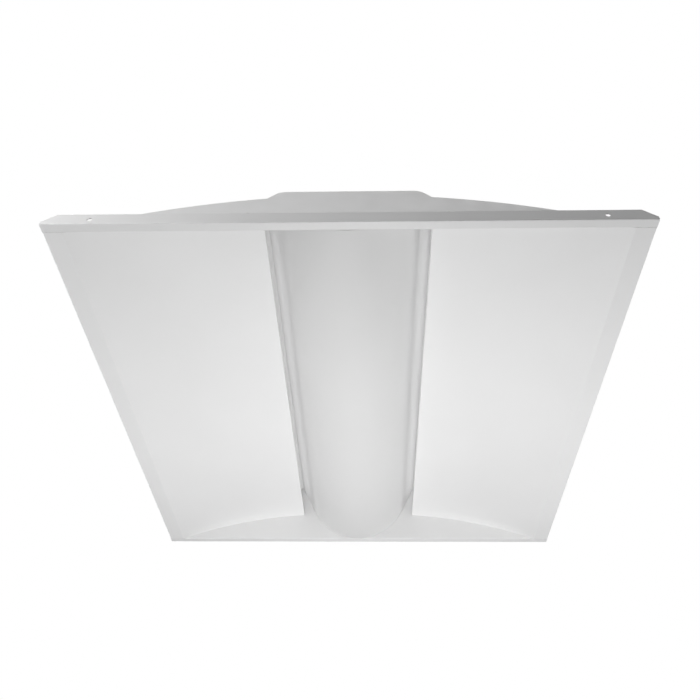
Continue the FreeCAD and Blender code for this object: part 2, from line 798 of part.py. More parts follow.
def access_cover():
    """Lid over the opening, with rolled knuckles on one side and a finger lip on the other."""
    plate = box((hinge_x, cover_edge), (cover_front, cover_back), (cover_under, cover_top))
    lip = box((cover_edge - COVER_SHEET, cover_edge), (cover_front, cover_front + COVER_LIP_LENGTH),
              (cover_under, cover_under + COVER_LIP))
    pieces = [lip]
    knuckle_room = KNUCKLE_RADIUS + KNUCKLE_GAP
    for centre in hinge_places:
        reach = 1.5 * KNUCKLE + 3 * KNUCKLE_GAP + 2 * SHEET
        cell = (hinge_x - knuckle_room, hinge_x + knuckle_room)
        plate = plate.cut(box(cell, (centre - reach, centre + reach), (cover_under, cover_top)))
        for low, high in cover_knuckles(centre):
            root = box((hinge_x, hinge_x + knuckle_room), (low, high), (cover_under, cover_top))
            root = root.cut(rod(pin_bore, V(hinge_x, low, hinge_z), V(hinge_x, high, hinge_z)))
            pieces += [root, knuckle(low, high)]
    edge_cut = box((hinge_x, hinge_x + SHEET), (cover_front, cover_back), (cover_under, cover_top))
    return plate.cut(edge_cut).fuse(pieces).removeSplitter()


def hinge_leaf(centre):
    """Fixed leaf with the middle knuckle of one hinge."""
    reach = 1.5 * KNUCKLE
    low = centre - KNUCKLE / 2
    high = centre + KNUCKLE / 2
    clear_x = hinge_x - KNUCKLE_RADIUS - KNUCKLE_GAP
    leaf = box((hinge_x - LEAF_DEPTH, clear_x), (centre - reach, centre + reach),
               (channel_top, cover_top))
    root = box((clear_x, hinge_x), (low, high), (channel_top, cover_top))
    root = root.cut(rod(pin_bore, V(hinge_x, low, hinge_z), V(hinge_x, high, hinge_z)))
    return leaf.fuse([root, knuckle(low, high)]).removeSplitter()


def hinge_pin(centre):
    low = cover_knuckles(centre)[0][0]
    high = cover_knuckles(centre)[1][1]
    pin = rod(PIN_RADIUS, V(hinge_x, low - SHEET, hinge_z), V(hinge_x, high, hinge_z))
    head = rod(KNUCKLE_RADIUS, V(hinge_x, low - 2 * SHEET, hinge_z), V(hinge_x, low - KNUCKLE_GAP, hinge_z))
    return pin.fuse(head).removeSplitter()


def cover_latch():
    """Turn button: it lies beside the cover, and swings over the cover's edge."""
    side = LATCH_WIDTH / 2
    top = latch_under + LATCH_SHEET
    tip_y = latch_y + LATCH_LENGTH - side
    blade = rounded_box((latch_x - side, latch_x + side), (latch_y - side, tip_y),
                        (latch_under, top), side * BLADE_ROUND)
    tab = box((latch_x - LATCH_SHEET / 2, latch_x + LATCH_SHEET / 2),
              (latch_y + side + LATCH_SHEET, tip_y - side), (latch_under, top + LATCH_TAB))
    bore = rod(LATCH_SHANK + PIN_CLEAR, V(latch_x, latch_y, latch_under), V(latch_x, latch_y, top))
    return blade.fuse(tab).cut(bore).removeSplitter()


def shoulder_rivet(foot, shoulder, blade, shank, head):
    """Pivot rivet along +Z: shank through the sheet, shoulder, running shank, head."""
    low = foot - UP * (SHEET + RIVET_TAIL)
    seat = foot + UP * shoulder
    top = seat + UP * (blade + 2 * PIN_CLEAR)
    body = rod(shank, low, top)
    collar = rod(head, foot, seat - UP * PIN_CLEAR)
    cap = rod(head, top, top + UP * RIVET_HEAD)
    cap = cap.makeFillet(RIVET_HEAD * HEAD_ROUND, [cap.Edges[0]])
    return body.fuse([cap, collar]).removeSplitter()


# ---------------------------------------------------------------- grid clips and hanger tabs


def clip_bracket():
    """Bracket of the rear right clip: foot on the pan, leg, and shelf over the edge of the face."""
    inner = leg_x - BRACKET_FOOT
    wire = path(
        at(inner, arch_z(inner, SHEET)), arch_step(inner, leg_x, SHEET),
        at(leg_x, shelf_top - BRACKET_SHEET), at(clip_x + BRACKET_SHELF, shelf_top - BRACKET_SHEET),
    )
    side = BRACKET_WIDTH / 2
    bracket = sheet(wire, at(-FACE, FACE), clip_y - side, clip_y + side, BRACKET_SHEET)
    hole = rod(CLIP_SHANK + HOLE_CLEAR, V(clip_x, clip_y, shelf_top - 2), V(clip_x, clip_y, shelf_top + 1))
    return bracket.cut(hole)


def grid_clip():
    """Rear right clip, stowed along the side of the light."""
    side = CLIP_WIDTH / 2
    blade = rounded_box((clip_x - side, clip_x + side), (clip_y - CLIP_LENGTH, clip_y + side),
                        (clip_under, clip_top), side * BLADE_ROUND)
    lip = box((clip_x - side / 2, clip_x + side / 2),
              (clip_y - CLIP_LENGTH, clip_y - CLIP_LENGTH + CLIP_SHEET), (clip_under, clip_top + CLIP_LIP))
    bore = rod(CLIP_SHANK + PIN_CLEAR, V(clip_x, clip_y, clip_under), V(clip_x, clip_y, clip_top))
    return blade.fuse(lip).cut(bore).removeSplitter()


def clip_rivet():
    foot = V(clip_x, clip_y, shelf_top)
    return shoulder_rivet(foot, CLIP_LIFT, CLIP_SHEET, CLIP_SHANK, CLIP_SHANK + SHEET * 2)


def hanger_tab():
    """Rear right tab for a support wire: foot on the pan, upright ear with a hole."""
    side = HANGER_WIDTH / 2
    high = HANGER_X - side
    low = HANGER_X + side
    start = at(high, arch_z(high, SHEET))
    foot = sheet(path(start, arch_step(high, low, SHEET)), at(0, FACE),
                 hanger_y, hanger_y + HANGER_FOOT, HANGER_SHEET)
    top = arch_z(HANGER_X) + HANGER_HEIGHT
    ear = box((high, low), (hanger_y, hanger_y + HANGER_SHEET), (arch_z(low), top))
    below = rod(arch_radius - SHEET, V(0, 0, arch_centre), V(0, half, arch_centre))
    ear = ear.cut(below)
    hole_z = top - HANGER_HOLE
    hole = rod(HANGER_HOLE / 2, V(HANGER_X, hanger_y - 1, hole_z), V(HANGER_X, hanger_y + 3, hole_z))
    return ear.fuse(foot).cut(hole).removeSplitter()


# ---------------------------------------------------------------- assembly


def both_sides(name, right):
    parts["right_" + name] = right
    parts["left_" + name] = mirror_x(right)


def four_corners(name, rear_right):
    front_right = mirror_y(rear_right)
    parts["rear_right_" + name] = rear_right
    parts["rear_left_" + name] = mirror_x(rear_right)
    parts["front_right_" + name] = front_right
    parts["front_left_" + name] = mirror_x(front_right)


def build_fixed_parts():
    parts["rear_end_plate"] = rear_end_plate()
    parts["front_end_plate"] = mirror_y(parts["rear_end_plate"])
    both_sides("wing_reflector", right_wing())
    both_sides("back_pan", right_pan())
    both_sides("lens_rail", right_rail())
    both_sides("lens_seal", right_seal())
    parts["lens"] = lens()
    parts["driver_channel"] = driver_channel()
    parts["knockout_plug"] = knockout_plug()
    parts["led_tray"] = led_tray()
    parts["tray_grommet"] = tray_grommet()
    for name, place in (("left", -BOARD_PLACE), ("right", BOARD_PLACE)):
        parts[name + "_led_board"] = board(place)
        parts[name + "_leds"] = leds(place)
    parts["board_plugs"] = [board_plug(-BOARD_PLACE), board_plug(BOARD_PLACE)]
    parts["led_driver"] = led_driver()
    parts["driver_terminals"] = driver_terminals()
    parts["output_leads"] = output_leads()
    parts["input_leads"] = input_leads()
    parts["splice_connectors"] = splice_connectors()
    parts["ground_lead"] = ground_lead()
    parts["hinge_leaves"] = [hinge_leaf(centre) for centre in hinge_places]
    parts["hinge_pins"] = [hinge_pin(centre) for centre in hinge_places]
    four_corners("clip_bracket", clip_bracket())
    four_corners("hanger_tab", hanger_tab())


def build_moving_parts():
    parts["access_cover"] = access_cover()
    parts["cover_latch"] = cover_latch()
    four_corners("grid_clip", grid_clip())


def corner_names(name):
    """The four nodes of a corner part, each with the signs of its X and Y."""
    for end, y_sign in (("rear", 1), ("front", -1)):
        for side, x_sign in (("right", 1), ("left", -1)):
            yield end + "_" + side + "_" + name, x_sign, y_sign


def fasten_end_plates():
    tab_y = lean_y(body_height) - TAB_DEPTH * TAB_SHARE
    for end, sign in (("rear", 1), ("front", -1)):
        for x in (-TAB_WIDTH / 2, TAB_WIDTH / 2):
            fasten("end_tab_rivets", rivet, V(x, sign * tab_y, body_height), UP, 2 * SHEET,
                   [end + "_end_plate", "driver_channel"])
        for side, x_sign in (("right", 1), ("left", -1)):
            for place in PAN_TABS:
                y = sign * (lean_y(arch_z(place)) - TAB_DEPTH * TAB_SHARE)
                fasten("end_tab_rivets", rivet, on_arch(x_sign * place, y), arch_normal(x_sign * place),
                       2 * SHEET, [end + "_end_plate", side + "_back_pan"])
            x = x_sign * (rail_x + RAIL_TAB * TAB_SHARE)
            outside = lean_y(RAIL_TAB_HEIGHT) + SHEET / math.cos(lean_angle)
            outward = V(0, sign * math.cos(lean_angle), math.sin(lean_angle))
            fasten("rail_rivets", rivet, V(x, sign * outside, RAIL_TAB_HEIGHT), outward,
                   2 * SHEET + SEAT, [end + "_end_plate", side + "_lens_rail"])


def fasten_channel():
    foot_x = channel_base + CHANNEL_FOOT * TAB_SHARE
    reach = lean_y(channel_top) - TAB_DEPTH * 2
    for index in range(CHANNEL_SCREWS):
        y = -reach + 2 * reach * index / (CHANNEL_SCREWS - 1)
        for side, x_sign in (("right", 1), ("left", -1)):
            x = x_sign * foot_x
            fasten("channel_screws", screw, on_arch(x, y), arch_normal(x), 2 * SHEET,
                   ["driver_channel", side + "_back_pan"])


def fasten_tray():
    x = ledge_inner + TRAY_OVERLAP / 2
    outer_y = tray_end * TRAY_SCREW_SHARE
    for y in (-outer_y, 0.0, outer_y):
        for side, x_sign in (("right", 1), ("left", -1)):
            fasten("tray_screws", screw, V(x_sign * x, y, tray_top), UP, TRAY + SHEET,
                   ["led_tray", side + "_back_pan"])
    for place, side in ((-BOARD_PLACE, "left"), (BOARD_PLACE, "right")):
        across = place + math.copysign(BOARD_WIDTH / 4, place)
        for y in row_places(PLUG_LENGTH + 2 * SCREW_HEAD_RADIUS, BOARD_SCREW_PITCH):
            fasten("board_screws", screw, V(across, y, board_under), DOWN, flush(BOARD + TRAY),
                   [side + "_led_board", "led_tray"])
    for y in (driver_front - TERMINAL_LENGTH - DRIVER_FOOT / 2,
              driver_back + TERMINAL_LENGTH + DRIVER_FOOT / 2):
        x = DRIVER_X - DRIVER_WIDTH / 4
        fasten("driver_screws", screw, V(x, y, tray_top + DRIVER_FOOT_SHEET), UP,
               flush(DRIVER_FOOT_SHEET + TRAY), ["led_driver", "led_tray"])
    fasten("ground_screw", screw, ground_point() + UP * SHEET, UP, flush(SHEET + TRAY), ["led_tray"])


def fasten_top():
    for centre in hinge_places:
        for shift in (-KNUCKLE, KNUCKLE):
            x = hinge_x - (LEAF_DEPTH + KNUCKLE_RADIUS) / 2
            fasten("leaf_rivets", rivet, V(x, centre + shift, cover_top), UP, cover_top - channel_under,
                   ["hinge_leaves", "driver_channel"])


def add_pivot_rivets():
    latch_foot = V(latch_x, latch_y, channel_top)
    drill = rod(LATCH_SHANK + HOLE_CLEAR, latch_foot - UP * 2, latch_foot + UP)
    parts["driver_channel"] = parts["driver_channel"].cut(drill)
    parts["latch_rivet"] = shoulder_rivet(
        latch_foot, latch_under - channel_top, LATCH_SHEET, LATCH_SHANK, LATCH_SHANK + 2 * SHEET
    )
    first = clip_rivet()
    front = mirror_y(first)
    parts["clip_rivets"] = [first, mirror_x(first), front, mirror_x(front)]


def fasten_corners():
    for node, x_sign, y_sign in corner_names("clip_bracket"):
        side = "right" if x_sign > 0 else "left"
        x = x_sign * (leg_x - BRACKET_FOOT / 2)
        for shift in (-BRACKET_WIDTH / 4, BRACKET_WIDTH / 4):
            point = on_arch(x, y_sign * clip_y + shift, SHEET - BRACKET_SHEET)
            fasten("bracket_rivets", rivet, point, arch_normal(x), SHEET + BRACKET_SHEET,
                   [node, side + "_back_pan"])
    for node, x_sign, y_sign in corner_names("hanger_tab"):
        side = "right" if x_sign > 0 else "left"
        x = x_sign * HANGER_X
        y = y_sign * (hanger_y + (HANGER_FOOT + HANGER_SHEET) / 2)
        point = on_arch(x, y, SHEET - HANGER_SHEET)
        fasten("hanger_rivets", rivet, point, arch_normal(x), SHEET + HANGER_SHEET,
               [node, side + "_back_pan"])


def solids_of(shape):
    if isinstance(shape, list):
        return [solid for item in shape for solid in solids_of(item)]
    return shape.Solids


def main():
    os.makedirs("parts", exist_ok=True)
    build_fixed_parts()
    build_moving_parts()
    fasten_end_plates()
    fasten_channel()
    fasten_tray()
    fasten_top()
    add_pivot_rivets()
    fasten_corners()
    for name, shape in parts.items():
        solids = solids_of(shape)
        result = solids[0] if len(solids) == 1 else Part.makeCompound(solids)
        result.exportStep("parts/" + name + ".step")
        extent = result.BoundBox
        print("%-26s %2d solids %10.0f mm3  X %.1f..%.1f  Y %.1f..%.1f  Z %.1f..%.1f %s" % (
            name, len(solids), result.Volume, extent.XMin, extent.XMax, extent.YMin, extent.YMax,
            extent.ZMin, extent.ZMax, "" if result.isValid() else "INVALID"))
    print("body height %.2f, lens rim %.2f at %.2f" % (body_height, lens_rim, lens_rim_x))


main()
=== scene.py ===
import bpy
import bmesh
import json
import math
from mathutils import Matrix, Vector
from mathutils.bvhtree import BVHTree


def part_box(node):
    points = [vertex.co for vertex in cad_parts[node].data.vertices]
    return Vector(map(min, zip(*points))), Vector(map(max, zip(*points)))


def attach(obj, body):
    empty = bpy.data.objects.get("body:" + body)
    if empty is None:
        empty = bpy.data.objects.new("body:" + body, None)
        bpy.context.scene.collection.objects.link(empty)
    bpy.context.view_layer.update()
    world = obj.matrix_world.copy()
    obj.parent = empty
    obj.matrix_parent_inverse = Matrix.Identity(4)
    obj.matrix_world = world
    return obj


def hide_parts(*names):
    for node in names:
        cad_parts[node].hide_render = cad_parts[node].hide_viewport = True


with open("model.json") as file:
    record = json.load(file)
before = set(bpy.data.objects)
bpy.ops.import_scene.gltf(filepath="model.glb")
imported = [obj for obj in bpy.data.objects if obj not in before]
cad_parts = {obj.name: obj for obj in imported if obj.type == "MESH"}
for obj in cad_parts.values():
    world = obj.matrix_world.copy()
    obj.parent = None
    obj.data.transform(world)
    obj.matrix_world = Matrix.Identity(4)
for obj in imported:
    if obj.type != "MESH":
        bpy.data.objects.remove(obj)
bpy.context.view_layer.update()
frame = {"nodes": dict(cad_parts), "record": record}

MM = 0.001
scene = bpy.context.scene


# ---------------------------------------------------------------- camera, light and floor

CAMERA_PLACE = Vector((0.0244, -0.6390, -0.5282))
CAMERA_YAW = math.radians(1.77)
CAMERA_PITCH = math.radians(47.30)
CAMERA_ROLL = math.radians(-1.01)
CAMERA_FRAME = 36.0             # mm
CAMERA_LENS = 32.744            # mm
CAMERA_SHIFT = (-0.01257, -0.02129)
CAMERA_NEAR = 0.01

WHITE = (1.0, 1.0, 1.0, 1.0)
AMBIENT = 0.125                 # strength of the world's light on the object
FLOOR_Z = -2.7                  # a room's height below the ceiling
FLOOR_SIZE = 60.0
FLOOR_COLOUR = (0.85, 0.85, 0.85, 1.0)
FLOOR_ROUGHNESS = 0.9
FLOOR_WHITE = (0.75, 1.0)       # how far it goes towards white where it is seen, middle and far off
FLOOR_FADE = (3.0, 9.0)         # distance from the light over which that changes


def add_camera():
    """Looks up at the light from below its front end, as the photograph does."""
    yaw, pitch, roll = CAMERA_YAW, CAMERA_PITCH, CAMERA_ROLL
    level = math.cos(pitch)
    forward = Vector((-math.sin(yaw) * level, math.cos(yaw) * level, math.sin(pitch)))
    level_right = Vector((math.cos(yaw), math.sin(yaw), 0.0))
    level_up = level_right.cross(forward)
    right = level_right * math.cos(roll) - level_up * math.sin(roll)
    up = level_right * math.sin(roll) + level_up * math.cos(roll)
    camera = bpy.data.objects.new("camera", bpy.data.cameras.new("camera"))
    camera.data.sensor_width = CAMERA_FRAME
    camera.data.lens = CAMERA_LENS
    camera.data.shift_x, camera.data.shift_y = CAMERA_SHIFT
    camera.data.clip_start = CAMERA_NEAR
    turn = Matrix((right, up, -forward)).transposed().to_4x4()
    camera.matrix_world = Matrix.Translation(CAMERA_PLACE) @ turn
    scene.collection.objects.link(camera)
    scene.camera = camera


def seen_directly(tree):
    """Socket that is 1 for camera, glossy and transmission rays, and 0 for light on the object."""
    rays = tree.nodes.new("ShaderNodeLightPath")
    total = rays.outputs["Is Camera Ray"]
    for name in ("Is Glossy Ray", "Is Transmission Ray"):
        either = tree.nodes.new("ShaderNodeMath")
        either.operation = "MAXIMUM"
        tree.links.new(total, either.inputs[0])
        tree.links.new(rays.outputs[name], either.inputs[1])
        total = either.outputs[0]
    return total


def add_world():
    """White behind the object, and a softer level for the light that falls on it."""
    world = bpy.data.worlds.new("studio")
    world.use_nodes = True
    tree = world.node_tree
    ambient = tree.nodes["Background"]
    ambient.inputs["Color"].default_value = WHITE
    ambient.inputs["Strength"].default_value = AMBIENT
    white = tree.nodes.new("ShaderNodeBackground")
    white.inputs["Color"].default_value = WHITE
    white.inputs["Strength"].default_value = 1.0
    either = tree.nodes.new("ShaderNodeMixShader")
    tree.links.new(seen_directly(tree), either.inputs[0])
    tree.links.new(ambient.outputs[0], either.inputs[1])
    tree.links.new(white.outputs[0], either.inputs[2])
    tree.links.new(either.outputs[0], tree.nodes["World Output"].inputs["Surface"])
    scene.world = world


def floor_material():
    """Pale and matt, and lifted towards white where it is seen, so that it keeps a faint shadow."""
    material = bpy.data.materials.new("floor")
    material.use_nodes = True
    tree = material.node_tree
    matt = tree.nodes["Principled BSDF"]
    matt.inputs["Base Color"].default_value = FLOOR_COLOUR
    matt.inputs["Roughness"].default_value = FLOOR_ROUGHNESS
    white = tree.nodes.new("ShaderNodeEmission")
    place = tree.nodes.new("ShaderNodeTexCoord")
    away = tree.nodes.new("ShaderNodeVectorMath")
    away.operation = "LENGTH"
    fade = tree.nodes.new("ShaderNodeMapRange")
    for index, value in enumerate(FLOOR_FADE + FLOOR_WHITE):
        fade.inputs[index + 1].default_value = value
    lift = tree.nodes.new("ShaderNodeMath")
    lift.operation = "MULTIPLY"
    either = tree.nodes.new("ShaderNodeMixShader")
    tree.links.new(place.outputs["Object"], away.inputs[0])
    tree.links.new(away.outputs["Value"], fade.inputs["Value"])
    tree.links.new(fade.outputs[0], lift.inputs[1])
    tree.links.new(seen_directly(tree), lift.inputs[0])
    tree.links.new(lift.outputs[0], either.inputs[0])
    tree.links.new(matt.outputs[0], either.inputs[1])
    tree.links.new(white.outputs[0], either.inputs[2])
    tree.links.new(either.outputs[0], tree.nodes["Material Output"].inputs["Surface"])
    return material


def add_floor():
    half = FLOOR_SIZE / 2
    corners = [(x * half, y * half, FLOOR_Z) for x, y in ((-1, -1), (1, -1), (1, 1), (-1, 1))]
    mesh = bpy.data.meshes.new("floor")
    mesh.from_pydata(corners, [], [(0, 1, 2, 3)])
    mesh.materials.append(floor_material())
    floor = bpy.data.objects.new("floor", mesh)
    scene.collection.objects.link(floor)


# name: (place, point it faces, width, height, power in watts)
LAMPS = {
    "above": ((0.2, 0.3, 2.0), (0.0, 0.1, 0.1), 2.2, 2.2, 13.0),
    "above_rear": ((0.5, 1.5, 1.7), (0.0, 0.1, 0.1), 1.6, 1.6, 13.0),
    "low_right": ((1.6, 0.55, -0.9), (0.0, 0.0, 0.02), 0.8, 0.8, 0.73),
    "below_far": ((0.0, 0.2, -0.6), (0.0, 0.15, 0.0), 0.5, 0.4, 0.88),
    "below_middle": ((0.0, 0.08, -0.75), (0.0, 0.08, 0.0), 0.6, 0.5, 0.96),
    "below_near": ((0.0, -0.03, -0.55), (0.0, -0.03, 0.0), 0.5, 0.3, 0.45),
    "below_close": ((0.0, 0.03, -0.42), (0.0, 0.03, 0.0), 0.4, 0.25, 0.41),
    "left_side": ((-0.75, 0.02, -0.3), (-0.3, 0.02, 0.0), 0.3, 0.3, 0.55),
    "right_side": ((0.75, 0.02, -0.3), (0.3, 0.02, 0.0), 0.3, 0.3, 1.0),
    "front_low": ((-0.3, -1.0, -0.5), (0.0, -0.3, 0.03), 0.3, 0.3, 0.90),
    "front_high": ((-0.35, -0.75, 0.1), (-0.1, -0.3, 0.05), 0.25, 0.15, 0.48),
    "near_corner": ((-0.55, -0.6, -0.04), (-0.3, -0.3, 0.03), 0.15, 0.1, 0.92),
}

# Strip lamps along the lens, each mirrored to the other side
STRIP_LENGTH = 0.54
# name: (place, point it faces, height, left power, right power)
STRIPS = {
    "gap": ((0.0955, 0.0, 0.062), (0.07, 0.0, 0.058), 0.03, 0.0125, 0.014),
    "rail": ((0.0925, 0.0, 0.062), (0.12, 0.0, 0.066), 0.03, 0.01, 0.01),
    "glow": ((0.072, 0.0, 0.014), (0.1, 0.0, 0.038), 0.01, 0.0064, 0.0066),
}


def add_lamp(name, place, target, width, height, power):
    data = bpy.data.lights.new(name, "AREA")
    data.shape = "RECTANGLE"
    data.size, data.size_y = width, height
    data.energy = power
    lamp = bpy.data.objects.new(name, data)
    lamp.location = place
    aim = Vector(target) - Vector(place)
    lamp.rotation_euler = aim.to_track_quat("-Z", "Y").to_euler()
    lamp.visible_camera = False
    scene.collection.objects.link(lamp)


def add_lamps():
    for name, settings in LAMPS.items():
        add_lamp(name, *settings)
    for name, (place, target, height, left_power, right_power) in STRIPS.items():
        for side, prefix, power in ((-1, "left_", left_power), (1, "right_", right_power)):
            mirror = Vector((side, 1.0, 1.0))
            add_lamp(prefix + name, Vector(place) * mirror, Vector(target) * mirror,
                     STRIP_LENGTH, height, power)


# ---------------------------------------------------------------- finishes

EDGE_ROUND = 0.75 * MM          # how far light rolls round a folded or cut edge
EDGE_SAMPLES = 6
EDGE_TURN = (0.75, 0.99)        # normals this alike count as a full edge, and as flat
EDGE_PATCHES = (0.42, 0.62)     # noise over which an edge goes from clean to marked: worn on the coats, metal and mouldings, a painted highlight on the lens
NOISE_SPREAD = (0.3, 0.7)       # where nearly all of a noise texture's values lie


class Finish:
    """One slot's material: a Principled shader fed by small graphs in the object's own metres."""

    def __init__(self, name, **sockets):
        self.material = bpy.data.materials.new(name)
        self.material.use_nodes = True
        self.tree = self.material.node_tree
        self.shader = self.tree.nodes["Principled BSDF"]
        self.place = self.node("ShaderNodeTexCoord").outputs["Object"]
        rounding = self.node("ShaderNodeBevel", {"Radius": EDGE_ROUND}, samples=EDGE_SAMPLES)
        self.soft = rounding.outputs[0]
        self.normal = self.soft
        for socket, value in sockets.items():
            title = socket.replace("_", " ").title().replace("Ior", "IOR")
            self.shader.inputs[title].default_value = value

    def node(self, kind, links=(), **settings):
        made = self.tree.nodes.new(kind)
        for name, value in settings.items():
            setattr(made, name, value)
        for name, source in dict(links).items():
            if hasattr(source, "is_output"):
                self.tree.links.new(source, made.inputs[name])
            else:
                made.inputs[name].default_value = source
        return made

    def stretched(self, stretch):
        """The object's place with each axis scaled, for grain that runs one way."""
        return self.node("ShaderNodeMapping", {"Vector": self.place, "Scale": stretch}).outputs[0]

    def noise(self, scale, detail=3.0, roughness=0.55, stretch=None):
        place = self.stretched(stretch) if stretch else self.place
        links = {"Vector": place, "Scale": scale, "Detail": detail, "Roughness": roughness}
        return self.node("ShaderNodeTexNoise", links).outputs["Fac"]

    def cells(self, scale, output="Color", feature="F1"):
        links = {"Vector": self.place, "Scale": scale}
        return self.node("ShaderNodeTexVoronoi", links, feature=feature).outputs[output]

    def span(self, value, low, high, source=(0.0, 1.0)):
        """Maps the source range onto low to high, and holds the ends beyond it."""
        links = {"Value": value, "From Min": source[0], "From Max": source[1],
                 "To Min": low, "To Max": high}
        return self.node("ShaderNodeMapRange", links, clamp=True).outputs[0]

    def times(self, first, second):
        return self.node("ShaderNodeMath", {0: first, 1: second}, operation="MULTIPLY").outputs[0]

    def blend(self, factor, first, second):
        """Colour between two colours or sockets."""
        made = self.node("ShaderNodeMix", data_type="RGBA")
        for index, source in ((0, factor), (6, first), (7, second)):
            if hasattr(source, "is_output"):
                self.tree.links.new(source, made.inputs[index])
            else:
                made.inputs[index].default_value = source
        return made.outputs[2]

    def tones(self, value, colour, dark, pale, source=NOISE_SPREAD):
        """The colour, darker to paler by two factors as the value crosses the source range."""
        share = self.span(value, 0.0, 1.0, source)
        return self.blend(share, tinted(colour, dark), tinted(colour, pale))

    def bump(self, height, distance, strength=1.0):
        """Adds relief to the normal, with the distance in metres."""
        links = {"Height": height, "Distance": distance, "Strength": strength,
                 "Normal": self.normal}
        self.normal = self.node("ShaderNodeBump", links).outputs[0]

    def edges(self):
        """0 on flat surfaces, rising towards 1 on edges, broken up by noise."""
        sharp = self.node("ShaderNodeNewGeometry").outputs["Normal"]
        links = {0: self.soft, 1: sharp}
        alike = self.node("ShaderNodeVectorMath", links, operation="DOT_PRODUCT")
        edge = self.span(alike.outputs["Value"], 1.0, 0.0, EDGE_TURN)
        patchy = self.span(self.noise(260.0, 4.0), 0.0, 1.0, EDGE_PATCHES)
        return self.times(edge, patchy)

    def set(self, socket, source):
        self.tree.links.new(source, self.shader.inputs[socket])

    def rough(self, value, low, high, source=NOISE_SPREAD):
        self.set("Roughness", self.span(value, low, high, source))

    def done(self):
        self.set("Normal", self.normal)
        return self.material


def grey(value):
    return (value, value, value, 1.0)


def tinted(colour, factor):
    return tuple(min(1.0, channel * factor) for channel in colour[:3]) + (1.0,)


def powder_coat(name, colour, gloss, wear, peel=0.00004):
    """Sprayed and baked paint: fine orange peel, slow drift in tone, thin at the edges."""
    finish = Finish(name, specular_ior_level=0.45)
    base = finish.tones(finish.noise(7.0, 2.0), colour, 0.985, 1.01)
    speck = finish.span(finish.noise(1400.0, 2.0), 0.0, 0.03, (0.55, 0.75))
    base = finish.blend(speck, base, tinted(colour, 0.8))
    base = finish.blend(finish.times(finish.edges(), wear), base, tinted(colour, 0.55))
    finish.set("Base Color", base)
    finish.rough(finish.noise(60.0), gloss - 0.05, gloss + 0.07)
    finish.bump(finish.noise(620.0, 1.5), peel, 0.5)
    finish.bump(finish.noise(22.0, 1.0), 0.0002, 0.12)
    return finish.done()


def galvanised(name, colour):
    """Zinc spangle: flat crystals of different grey, with a dull bloom over them."""
    finish = Finish(name, metallic=0.85, specular_ior_level=0.5)
    crystal = finish.node("ShaderNodeSeparateColor", {"Color": finish.cells(130.0)}).outputs[0]
    base = finish.blend(crystal, tinted(colour, 0.9), tinted(colour, 1.07))
    bloom = finish.span(finish.noise(35.0, 5.0), 0.0, 0.45, (0.45, 0.75))
    base = finish.blend(bloom, base, tinted(colour, 1.1))
    base = finish.blend(finish.edges(), base, tinted(colour, 1.3))
    finish.set("Base Color", base)
    finish.rough(crystal, 0.44, 0.62, (0.0, 1.0))
    finish.bump(finish.cells(130.0, "Distance", "DISTANCE_TO_EDGE"), 0.00003, 0.25)
    finish.bump(finish.noise(900.0, 2.0), 0.00002, 0.3)
    return finish.done()


def brushed(name, colour, stretch, rough):
    """Bare metal with its rolling lines along one axis."""
    finish = Finish(name, metallic=1.0)
    grain = finish.noise(60.0, 6.0, 0.7, stretch)
    base = finish.tones(grain, colour, 0.86, 1.06)
    base = finish.blend(finish.edges(), base, tinted(colour, 1.2))
    finish.set("Base Color", base)
    finish.rough(grain, rough - 0.07, rough + 0.1)
    finish.bump(grain, 0.00003, 0.3)
    return finish.done()


def opal(name, colour):
    """Frosted acrylic: matt, very even, with a fine ground surface, a faint drift in density, and a
    painted highlight along its edges.
    """
    finish = Finish(name, specular_ior_level=0.35)
    base = finish.tones(finish.noise(5.0, 2.0), colour, 0.985, 1.01)
    # painted highlight: the lens's edges are painted paler, as though its cut edges caught the
    # light
    base = finish.blend(finish.edges(), base, tinted(colour, 1.1))
    finish.set("Base Color", base)
    finish.rough(finish.noise(45.0, 3.0), 0.5, 0.6)
    finish.bump(finish.noise(1600.0, 2.0), 0.00003, 0.35)
    finish.bump(finish.noise(9.0, 1.0), 0.0003, 0.1)
    return finish.done()


def moulded(name, colour, rough, grain=1800.0, wear=0.5):
    """Moulded plastic or rubber: spark-eroded grain and paler, polished edges."""
    finish = Finish(name, specular_ior_level=0.45)
    base = finish.tones(finish.noise(90.0, 4.0), colour, 0.9, 1.07)
    base = finish.blend(finish.times(finish.edges(), wear), base, tinted(colour, 1.35))
    finish.set("Base Color", base)
    finish.rough(finish.noise(300.0, 3.0), rough - 0.07, rough + 0.08)
    finish.bump(finish.noise(grain, 2.0), 0.00004, 0.4)
    return finish.done()


def foam_strip(name, colour):
    """Closed-cell foam: open pores in the cut faces."""
    finish = Finish(name, roughness=0.95, specular_ior_level=0.2)
    pores = finish.cells(1500.0, "Distance")
    # painted shade: each pore is painted darker towards its middle, where the bump sinks its pit
    finish.set("Base Color", finish.tones(pores, colour, 0.65, 1.05, (0.1, 0.5)))
    finish.bump(pores, 0.0002, 0.6)
    return finish.done()


def circuit_board(name, colour):
    """White solder mask with the copper under it showing as faint raised bands."""
    finish = Finish(name, specular_ior_level=0.5)
    links = {"Vector": finish.place, "Scale": 30.0, "Distortion": 0.0}
    bands = finish.node("ShaderNodeTexWave", links, wave_type="BANDS", bands_direction="X")
    copper = finish.span(bands.outputs["Fac"], 0.0, 1.0, (0.55, 0.6))
    base = finish.blend(copper, tinted(colour, 0.96), tinted(colour, 1.02))
    speck = finish.span(finish.noise(700.0, 3.0), 0.0, 0.1, (0.5, 0.8))
    base = finish.blend(speck, base, tinted(colour, 0.75))
    finish.set("Base Color", base)
    finish.rough(finish.noise(200.0), 0.3, 0.42)
    finish.bump(copper, 0.00005, 0.6)
    return finish.done()


def phosphor(name, colour):
    """Silicone filled with phosphor grains."""
    finish = Finish(name, roughness=0.35, specular_ior_level=0.5)
    grains = finish.noise(6000.0, 2.0)
    finish.set("Base Color", finish.tones(grains, colour, 0.85, 1.1))
    finish.bump(grains, 0.00002, 0.3)
    return finish.done()


